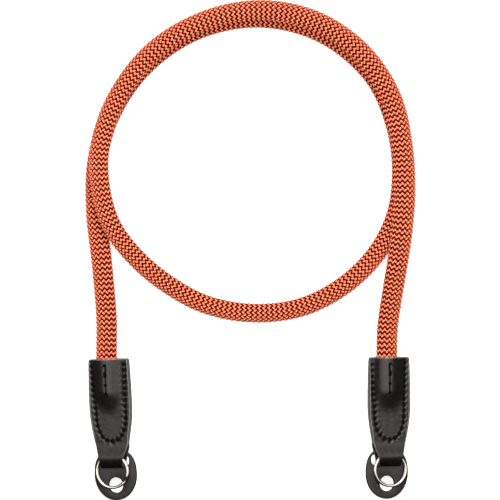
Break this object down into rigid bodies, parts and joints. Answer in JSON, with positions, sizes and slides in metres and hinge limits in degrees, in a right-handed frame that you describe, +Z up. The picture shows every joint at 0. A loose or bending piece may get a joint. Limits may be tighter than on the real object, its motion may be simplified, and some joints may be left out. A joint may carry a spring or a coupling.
{
  "type": "rope camera strap",
  "caption": "Round braided rope camera strap laid in a loose loop, each end sewn into a folded leather tab that holds a split ring and an oval leather guard.",
  "frame": {"origin": "on the surface that the strap lies on, midway between the two end fittings (tab, split ring and guard)", "axes": "+X from the left fitting to the right one, +Y from the fittings towards the rope's loop, +Z up from the surface"},
  "size_m": [0.1641, 0.2493, 0.0205],
  "materials": {
    "rope_cloth": "burnt orange polyester braid over dark red, zigzag twill pattern, matt",
    "black_leather": "smooth black leather with a soft gloss, black stitching and painted edges",
    "nickel_ring": "polished nickel-plated steel"
  },
  "bodies": {
    "root": {"rope": "rope_cloth", "right_tab": "black_leather", "right_split_ring": "nickel_ring", "right_guard": "black_leather", "left_tab": "black_leather", "left_split_ring": "nickel_ring", "left_guard": "black_leather"}
  },
  "joints": []
}
